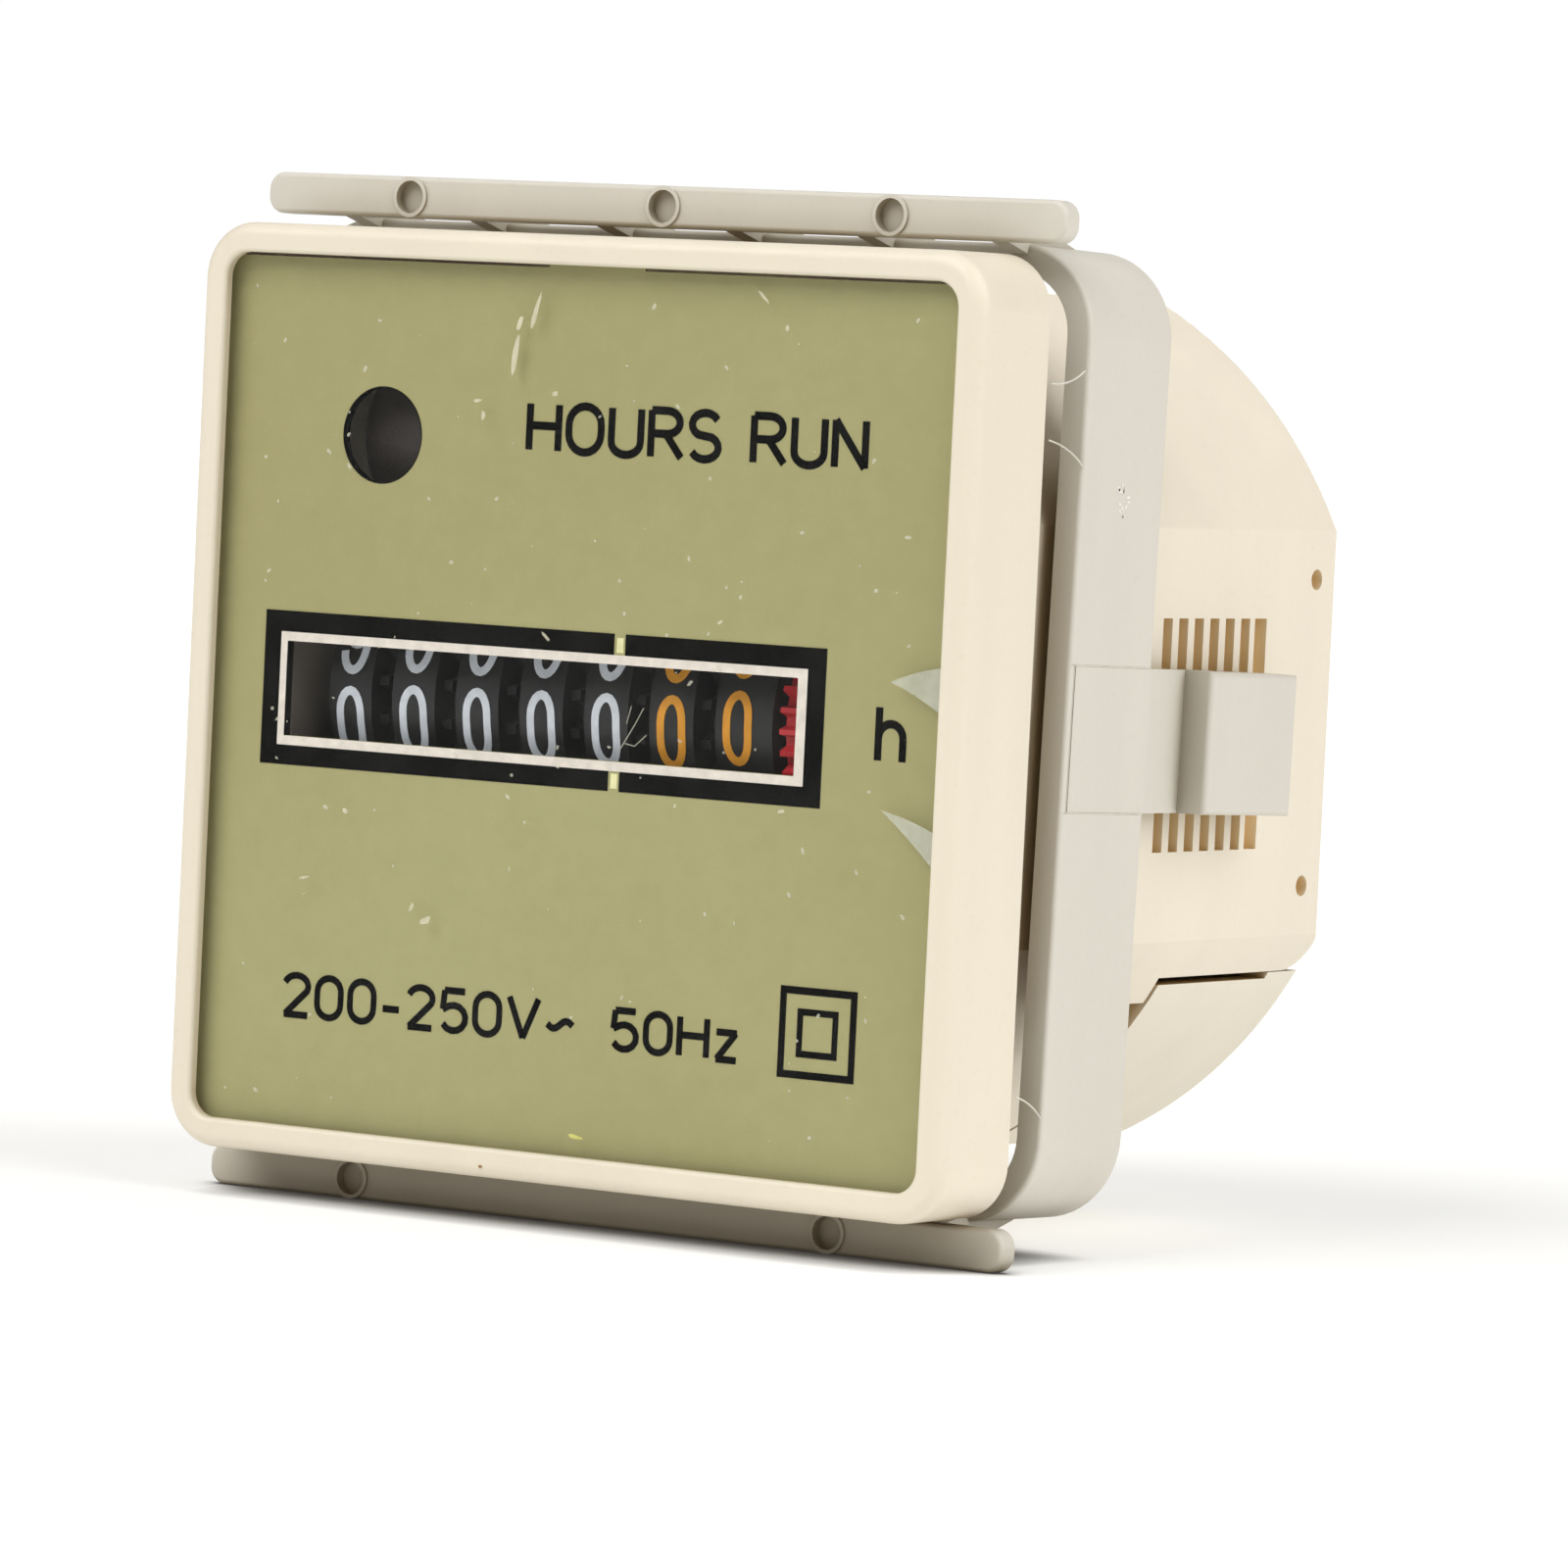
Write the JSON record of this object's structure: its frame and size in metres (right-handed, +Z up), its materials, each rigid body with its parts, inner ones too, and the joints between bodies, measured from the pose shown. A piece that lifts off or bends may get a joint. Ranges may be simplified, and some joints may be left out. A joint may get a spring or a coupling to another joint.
{
  "type": "panel hour meter",
  "caption": "Square-front panel running-hour counter with number drums behind a window, cream body, grey clamp frame with latch tongues, and a terminal cover.",
  "frame": {"origin": "centre of the front of the panel cut-out, in the plane of the bezel's rear face", "axes": "+X to the right seen from the front, +Y into the panel towards the terminals, +Z up"},
  "size_m": [0.0504, 0.0387, 0.0532],
  "materials": {
    "bezel": "satin cream moulding",
    "housing": "satin cream moulding",
    "cover": "satin cream moulding, slightly yellower",
    "clamp": "satin light grey moulding",
    "window": "clear acrylic sheet",
    "dial": "printed olive face",
    "chassis": "dark moulding",
    "drum": "black number wheel with printed digits",
    "gear_red": "red moulded wheel",
    "gear_white": "natural acetal",
    "steel": "ground steel",
    "plated": "zinc-plated steel sheet",
    "copper": "enamelled copper wire",
    "magnet": "ferrite",
    "brass": "bright brass",
    "board": "phenolic board",
    "resistor": "cement coating",
    "capacitor": "film capacitor case",
    "block": "dark phenolic",
    "indicator": "dark wheel with lighter bars"
  },
  "bodies": {
    "housing_group": {"front_bezel": "bezel", "dial_window": "window", "dial_plate": "dial", "housing": "housing", "counter_frame": "chassis", "gear_plate": "plated", "drum_axle": "steel", "transfer_axle": "steel", "gear_posts": "steel", "indicator_posts": "steel", "motor_bracket": "plated", "motor_cup_right": "plated", "motor_cup_left": "plated", "coil_bobbin": "gear_white", "coil_winding": "copper", "circuit_board": "board", "series_resistor": "resistor", "film_capacitor": "capacitor", "terminal_leads": "brass", "terminal_block": "block", "terminal_plates": "brass", "wire_clamps": "plated"},
    "clamp_frame": {"clamp_frame": "clamp"},
    "tongue_right": {"latch_tongue_right": "clamp"},
    "tongue_left": {"latch_tongue_left": "clamp"},
    "terminal_cover": {"terminal_cover": "cover"},
    "rotor": {"rotor_magnet": "magnet", "rotor_shaft": "steel", "rotor_pinion": "brass", "indicator_pinion": "brass"},
    "screw_right": {"terminal_screw_right": "plated"},
    "screw_left": {"terminal_screw_left": "plated"},
    "indicator": {"indicator_drum": "indicator"},
    "idler": {"indicator_idler": "gear_white"},
    "drum_1": {"digit_drum_1": "drum"},
    "drum_2": {"digit_drum_2": "drum"},
    "drum_3": {"digit_drum_3": "drum"},
    "drum_4": {"digit_drum_4": "drum"},
    "drum_5": {"digit_drum_5": "drum"},
    "drum_6": {"digit_drum_6": "drum"},
    "drum_7": {"digit_drum_7": "drum", "drive_gear": "gear_red"},
    "transfer_1": {"transfer_pinion_1": "gear_white"},
    "transfer_2": {"transfer_pinion_2": "gear_white"},
    "transfer_3": {"transfer_pinion_3": "gear_white"},
    "transfer_4": {"transfer_pinion_4": "gear_white"},
    "transfer_5": {"transfer_pinion_5": "gear_white"},
    "transfer_6": {"transfer_pinion_6": "gear_white"},
    "reduction_1": {"reduction_gear_1": "gear_white"},
    "reduction_2": {"reduction_gear_2": "gear_white"},
    "reduction_3": {"reduction_gear_3": "gear_white"}
  },
  "joints": [
    {"name": "rotor_spin", "type": "hinge", "parent": "housing_group", "child": "rotor", "pos_m": [0, 0.0168, 0.00921], "axis": [1, 0, 0], "continuous": true},
    {"name": "clamp_slide", "type": "slide", "parent": "housing_group", "child": "clamp_frame", "axis": [0, 1, 0], "range_m": [0, 0.034]},
    {"name": "tongue_right_flex", "type": "hinge", "parent": "clamp_frame", "child": "tongue_right", "pos_m": [0.02375, 0.0037, 0], "axis": [0, -0.0244, -0.9997], "range_deg": [0, 10], "stiffness_Nm_per_rad": 0.5},
    {"name": "tongue_left_flex", "type": "hinge", "parent": "clamp_frame", "child": "tongue_left", "pos_m": [-0.02375, 0.0037, 0], "axis": [0, 0.0244, 0.9997], "range_deg": [0, 10], "stiffness_Nm_per_rad": 0.5},
    {"name": "cover_slide", "type": "slide", "parent": "housing_group", "child": "terminal_cover", "axis": [0, 1, 0], "range_m": [0, 0.022]},
    {"name": "screw_right_turn", "type": "hinge", "parent": "housing_group", "child": "screw_right", "pos_m": [0.0065, 0.0254, -0.0186], "axis": [0, 0, 1], "range_deg": [0, 720]},
    {"name": "screw_left_turn", "type": "hinge", "parent": "housing_group", "child": "screw_left", "pos_m": [-0.0065, 0.0254, -0.0186], "axis": [0, 0, 1], "range_deg": [0, 720]},
    {"name": "reduction_3_spin", "type": "hinge", "parent": "housing_group", "child": "reduction_3", "pos_m": [0, 0.02168, 0.00225], "axis": [1, 0, 0], "continuous": true},
    {"name": "reduction_2_spin", "type": "hinge", "parent": "housing_group", "child": "reduction_2", "pos_m": [0, 0.01352, -0.00156], "axis": [1, 0, 0], "continuous": true},
    {"name": "reduction_1_spin", "type": "hinge", "parent": "housing_group", "child": "reduction_1", "pos_m": [0, 0.01147, 0.00408], "axis": [1, 0, 0], "continuous": true},
    {"name": "drum_7_spin", "type": "hinge", "parent": "housing_group", "child": "drum_7", "pos_m": [0, 0.0044, 0], "axis": [1, 0, 0], "continuous": true},
    {"name": "drum_6_spin", "type": "hinge", "parent": "housing_group", "child": "drum_6", "pos_m": [0, 0.0044, 0], "axis": [1, 0, 0], "continuous": true},
    {"name": "transfer_6_spin", "type": "hinge", "parent": "housing_group", "child": "transfer_6", "pos_m": [0, 0.0086, -0.00727], "axis": [1, 0, 0], "continuous": true},
    {"name": "drum_5_spin", "type": "hinge", "parent": "housing_group", "child": "drum_5", "pos_m": [0, 0.0044, 0], "axis": [1, 0, 0], "continuous": true},
    {"name": "transfer_5_spin", "type": "hinge", "parent": "housing_group", "child": "transfer_5", "pos_m": [0, 0.0086, -0.00727], "axis": [1, 0, 0], "continuous": true},
    {"name": "drum_4_spin", "type": "hinge", "parent": "housing_group", "child": "drum_4", "pos_m": [0, 0.0044, 0], "axis": [1, 0, 0], "continuous": true},
    {"name": "transfer_4_spin", "type": "hinge", "parent": "housing_group", "child": "transfer_4", "pos_m": [0, 0.0086, -0.00727], "axis": [1, 0, 0], "continuous": true},
    {"name": "drum_3_spin", "type": "hinge", "parent": "housing_group", "child": "drum_3", "pos_m": [0, 0.0044, 0], "axis": [1, 0, 0], "continuous": true},
    {"name": "transfer_3_spin", "type": "hinge", "parent": "housing_group", "child": "transfer_3", "pos_m": [0, 0.0086, -0.00727], "axis": [1, 0, 0], "continuous": true},
    {"name": "drum_2_spin", "type": "hinge", "parent": "housing_group", "child": "drum_2", "pos_m": [0, 0.0044, 0], "axis": [1, 0, 0], "continuous": true},
    {"name": "transfer_2_spin", "type": "hinge", "parent": "housing_group", "child": "transfer_2", "pos_m": [0, 0.0086, -0.00727], "axis": [1, 0, 0], "continuous": true},
    {"name": "drum_1_spin", "type": "hinge", "parent": "housing_group", "child": "drum_1", "pos_m": [0, 0.0044, 0], "axis": [1, 0, 0], "continuous": true},
    {"name": "transfer_1_spin", "type": "hinge", "parent": "housing_group", "child": "transfer_1", "pos_m": [0, 0.0086, -0.00727], "axis": [1, 0, 0], "continuous": true},
    {"name": "idler_spin", "type": "hinge", "parent": "housing_group", "child": "idler", "pos_m": [0, 0.01079, 0.01229], "axis": [1, 0, 0], "continuous": true},
    {"name": "indicator_spin", "type": "hinge", "parent": "housing_group", "child": "indicator", "pos_m": [0, 0.0006, 0.01337], "axis": [1, 0, 0], "continuous": true}
  ],
  "couplings": [
    {"joint": "reduction_3_spin", "follows": "rotor_spin", "ratio": -0.13333},
    {"joint": "reduction_2_spin", "follows": "rotor_spin", "ratio": 0.016667},
    {"joint": "reduction_1_spin", "follows": "rotor_spin", "ratio": -0.0033333},
    {"joint": "drum_7_spin", "follows": "rotor_spin", "ratio": 0.00066667},
    {"joint": "drum_6_spin", "follows": "rotor_spin", "ratio": 0.000066667},
    {"joint": "transfer_6_spin", "follows": "rotor_spin", "ratio": -0.00016667},
    {"joint": "drum_5_spin", "follows": "rotor_spin", "ratio": 0.0000066667},
    {"joint": "transfer_5_spin", "follows": "rotor_spin", "ratio": -0.000016667},
    {"joint": "drum_4_spin", "follows": "rotor_spin", "ratio": 0.00000066667},
    {"joint": "transfer_4_spin", "follows": "rotor_spin", "ratio": -0.0000016667},
    {"joint": "drum_3_spin", "follows": "rotor_spin", "ratio": 0.000000066667},
    {"joint": "transfer_3_spin", "follows": "rotor_spin", "ratio": -0.00000016667},
    {"joint": "drum_2_spin", "follows": "rotor_spin", "ratio": 0.0000000066667},
    {"joint": "transfer_2_spin", "follows": "rotor_spin", "ratio": -0.000000016667},
    {"joint": "drum_1_spin", "follows": "rotor_spin", "ratio": 0.00000000066667},
    {"joint": "transfer_1_spin", "follows": "rotor_spin", "ratio": -0.0000000016667},
    {"joint": "idler_spin", "follows": "rotor_spin", "ratio": -0.17391},
    {"joint": "indicator_spin", "follows": "rotor_spin", "ratio": 0.22222}
  ]
}
